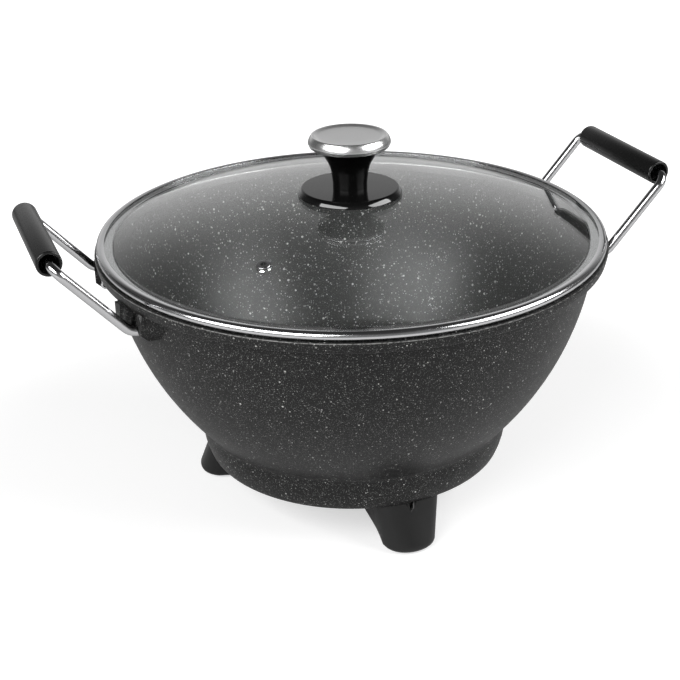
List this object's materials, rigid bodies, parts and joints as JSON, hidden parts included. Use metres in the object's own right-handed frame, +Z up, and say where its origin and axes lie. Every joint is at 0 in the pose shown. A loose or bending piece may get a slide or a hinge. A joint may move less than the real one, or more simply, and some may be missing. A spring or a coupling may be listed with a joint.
{
  "type": "electric wok",
  "caption": "Coated round-bottomed wok on splayed feet with bent wire handles, a lift-off domed glass lid with a steel-capped knob, and a rear socket for a thermostat plug.",
  "frame": {"origin": "on the surface that the feet stand on, under the bowl's axis", "axes": "+Z up, +X through the two handles, +Y to the back, where the thermostat socket is"},
  "size_m": [0.4068, 0.3226, 0.2414],
  "materials": {
    "bare_casting": "as cast",
    "coated_casting": "satin non-stick coating with light flecks",
    "element_sheath": "matt",
    "contact_brass": "polished",
    "bush_ceramic": "matt",
    "leg_plastic": "fine moulded texture",
    "cover_steel": "satin",
    "screw_steel": "plain",
    "pad_rubber": "matt",
    "handle_chrome": "polished",
    "grip_plastic": "satin",
    "lid_glass": "clear tempered",
    "rim_steel": "polished",
    "knob_plastic": "gloss",
    "cap_steel": "brushed top, polished side"
  },
  "bodies": {
    "base": {"wok_pan": "coated_casting", "heater_plate": "bare_casting", "heating_element": "element_sheath", "terminal_pin_left": "contact_brass", "terminal_pin_right": "contact_brass", "terminal_insulator_left": "bush_ceramic", "terminal_insulator_right": "bush_ceramic", "inlet_housing": "leg_plastic", "earth_contact": "contact_brass", "base_cover": "cover_steel", "cover_screws": "screw_steel", "leg_screws": "screw_steel", "leg_front": "leg_plastic", "leg_back_left": "leg_plastic", "leg_back_right": "leg_plastic", "foot_pad_front": "pad_rubber", "foot_pad_back_left": "pad_rubber", "foot_pad_back_right": "pad_rubber", "handle_wire_left": "handle_chrome", "handle_wire_right": "handle_chrome", "lug_screws_left": "handle_chrome", "lug_screws_right": "handle_chrome"},
    "lid": {"lid_glass": "lid_glass", "lid_rim": "rim_steel", "vent_grommet": "rim_steel", "knob_body": "knob_plastic", "knob_cap": "cap_steel", "knob_seal_upper": "pad_rubber", "knob_seal_lower": "pad_rubber", "knob_washer": "screw_steel", "knob_screw": "screw_steel"},
    "left_grip": {"handle_grip_left": "grip_plastic"},
    "right_grip": {"handle_grip_right": "grip_plastic"}
  },
  "joints": [
    {"name": "lid_lift", "type": "slide", "parent": "base", "child": "lid", "axis": [0, 0, 1], "range_m": [0, 0.15]},
    {"name": "grip_left_spin", "type": "hinge", "parent": "base", "child": "left_grip", "pos_m": [-0.1958, 0, 0.2033], "axis": [0, 1, 0], "continuous": true},
    {"name": "grip_right_spin", "type": "hinge", "parent": "base", "child": "right_grip", "pos_m": [0.1958, 0, 0.2033], "axis": [0, 1, 0], "continuous": true}
  ]
}
